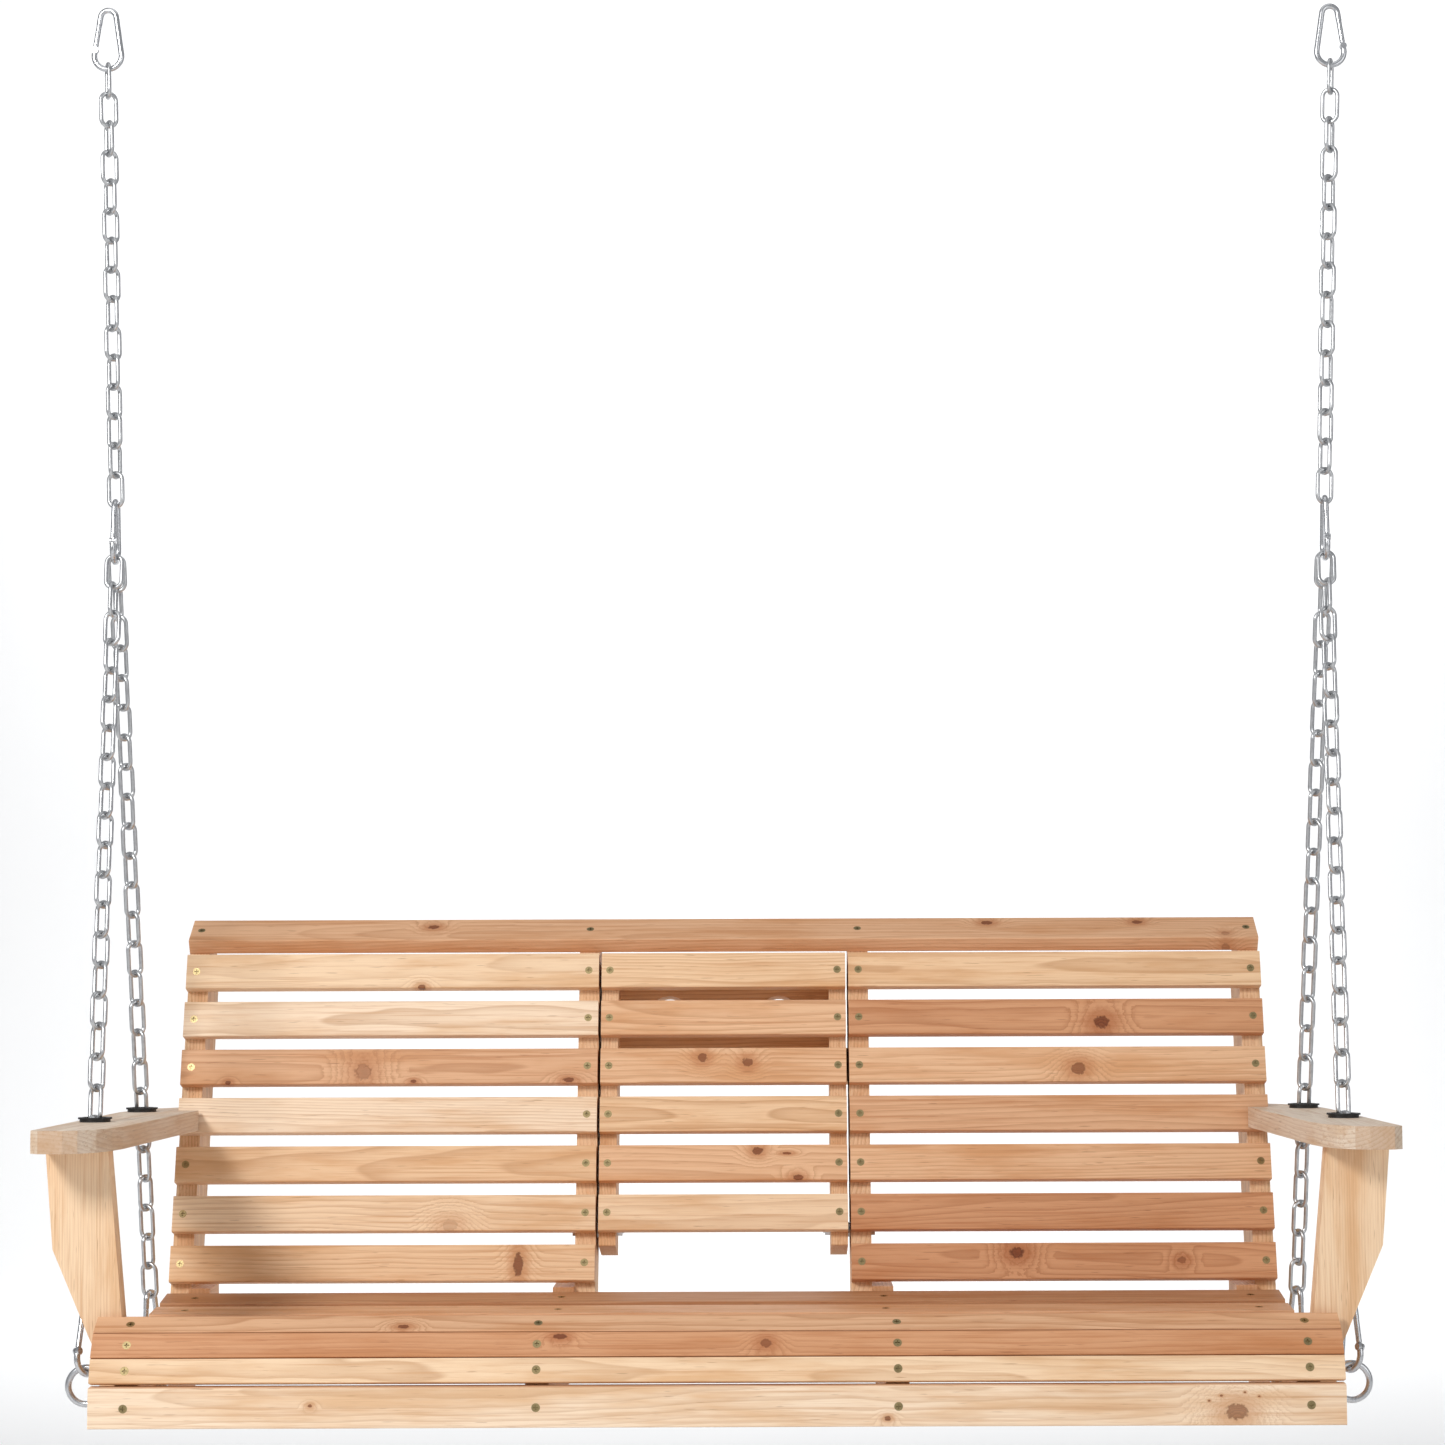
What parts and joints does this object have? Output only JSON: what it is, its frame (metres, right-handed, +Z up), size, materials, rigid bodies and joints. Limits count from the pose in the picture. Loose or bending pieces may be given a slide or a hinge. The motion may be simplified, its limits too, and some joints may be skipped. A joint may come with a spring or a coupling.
{
  "type": "porch swing",
  "caption": "Slatted wooden porch swing for three on V-shaped chains, with a rolled seat front, flat armrests and a fold-down cup console in the back.",
  "frame": {"origin": "midway between the two points where the top carabiners hang from the beam hooks", "axes": "+X to the right seen from the front, +Y from the front of the seat to its back, +Z up"},
  "size_m": [1.524, 0.6575, 1.6651],
  "materials": {
    "cedar_pale": "matte",
    "cedar_red": "matte",
    "cedar_brown": "matte",
    "zinc": "satin",
    "yellow_zinc": "satin",
    "black_plastic": "satin"
  },
  "bodies": {
    "hooks": {"top_carabiners": "zinc"},
    "hangers": {"upper_chains": "zinc", "mid_carabiners": "zinc"},
    "bench": {"apron": "cedar_pale", "arm_dowels": "cedar_pale", "arm_posts": "cedar_pale", "armrest_left": "cedar_pale", "armrest_right": "cedar_pale", "back_left_1": "cedar_pale", "back_left_2": "cedar_pale", "back_left_3": "cedar_red", "back_left_4": "cedar_pale", "back_left_5": "cedar_brown", "back_left_6": "cedar_pale", "back_left_7": "cedar_pale", "back_posts": "cedar_pale", "back_right_1": "cedar_pale", "back_right_2": "cedar_brown", "back_right_3": "cedar_red", "back_right_4": "cedar_pale", "back_right_5": "cedar_pale", "back_right_6": "cedar_red", "back_right_7": "cedar_red", "bench_screws": "yellow_zinc", "console_pivots": "zinc", "eye_bolts": "zinc", "eye_nuts": "zinc", "front_chains": "zinc", "grommets": "black_plastic", "lower_carabiners": "zinc", "rear_chains": "zinc", "roll_slat_1": "cedar_pale", "roll_slat_2": "cedar_red", "roll_slat_3": "cedar_pale", "seat_slat_1": "cedar_pale", "seat_slat_2": "cedar_pale", "seat_slat_3": "cedar_pale", "seat_slat_4": "cedar_pale", "seat_slat_5": "cedar_brown", "seat_slat_6": "cedar_brown", "seat_supports": "cedar_pale", "stop_batten": "cedar_pale", "top_slat": "cedar_red"},
    "console": {"console_rails": "cedar_pale", "console_screws": "yellow_zinc", "console_slat_1": "cedar_red", "console_slat_2": "cedar_brown", "console_slat_3": "cedar_pale", "console_slat_4": "cedar_pale", "console_slat_5": "cedar_pale", "console_slat_6": "cedar_pale", "cup_board": "cedar_pale"},
    "gate_front_left": {"gate_front_left": "zinc"},
    "gate_front_right": {"gate_front_right": "zinc"},
    "gate_mid_left": {"gate_mid_left": "zinc"},
    "gate_mid_right": {"gate_mid_right": "zinc"},
    "gate_rear_left": {"gate_rear_left": "zinc"},
    "gate_rear_right": {"gate_rear_right": "zinc"},
    "gate_top_left": {"gate_top_left": "zinc"},
    "gate_top_right": {"gate_top_right": "zinc"}
  },
  "joints": [
    {"name": "swing", "type": "hinge", "parent": "hooks", "child": "hangers", "pos_m": [0, 0, -0.0695], "axis": [1, 0, 0], "range_deg": [-22, 22]},
    {"name": "bench_tilt", "type": "hinge", "parent": "hangers", "child": "bench", "pos_m": [0, 0, -0.65563], "axis": [1, 0, 0], "range_deg": [-12, 12]},
    {"name": "console_fold", "type": "hinge", "parent": "bench", "child": "console", "pos_m": [0, 0.15551, -1.47923], "axis": [1, 0, 0], "range_deg": [0, 108.8]},
    {"name": "gate_front_left_pivot", "type": "hinge", "parent": "bench", "child": "gate_front_left", "pos_m": [-0.70393, -0.24459, -1.57733], "axis": [-0.879, 0.4557, -0.1402], "range_deg": [0, 25], "stiffness_Nm_per_rad": 0.05, "springref_deg": -11.46},
    {"name": "gate_front_right_pivot", "type": "hinge", "parent": "bench", "child": "gate_front_right", "pos_m": [0.70393, -0.24459, -1.57733], "axis": [-0.879, -0.4557, 0.1402], "range_deg": [0, 25], "stiffness_Nm_per_rad": 0.05, "springref_deg": -11.46},
    {"name": "gate_mid_left_pivot", "type": "hinge", "parent": "hangers", "child": "gate_mid_left", "pos_m": [-0.725, -0.01563, -0.64863], "axis": [-1, 0, 0], "range_deg": [0, 25], "stiffness_Nm_per_rad": 0.05, "springref_deg": -11.46},
    {"name": "gate_mid_right_pivot", "type": "hinge", "parent": "hangers", "child": "gate_mid_right", "pos_m": [0.725, -0.01563, -0.64863], "axis": [-1, 0, 0], "range_deg": [0, 25], "stiffness_Nm_per_rad": 0.05, "springref_deg": -11.46},
    {"name": "gate_rear_left_pivot", "type": "hinge", "parent": "bench", "child": "gate_rear_left", "pos_m": [-0.70177, 0.12307, -1.60085], "axis": [-0.9407, 0.3386, 0.0195], "range_deg": [0, 25], "stiffness_Nm_per_rad": 0.05, "springref_deg": -11.46},
    {"name": "gate_rear_right_pivot", "type": "hinge", "parent": "bench", "child": "gate_rear_right", "pos_m": [0.70177, 0.12307, -1.60085], "axis": [-0.9407, -0.3386, -0.0195], "range_deg": [0, 25], "stiffness_Nm_per_rad": 0.05, "springref_deg": -11.46},
    {"name": "gate_top_left_pivot", "type": "hinge", "parent": "hooks", "child": "gate_top_left", "pos_m": [-0.75763, 0, -0.046], "axis": [0, 1, 0], "range_deg": [0, 25], "stiffness_Nm_per_rad": 0.05, "springref_deg": -11.46},
    {"name": "gate_top_right_pivot", "type": "hinge", "parent": "hooks", "child": "gate_top_right", "pos_m": [0.75763, 0, -0.046], "axis": [0, -1, 0], "range_deg": [0, 25], "stiffness_Nm_per_rad": 0.05, "springref_deg": -11.46}
  ]
}
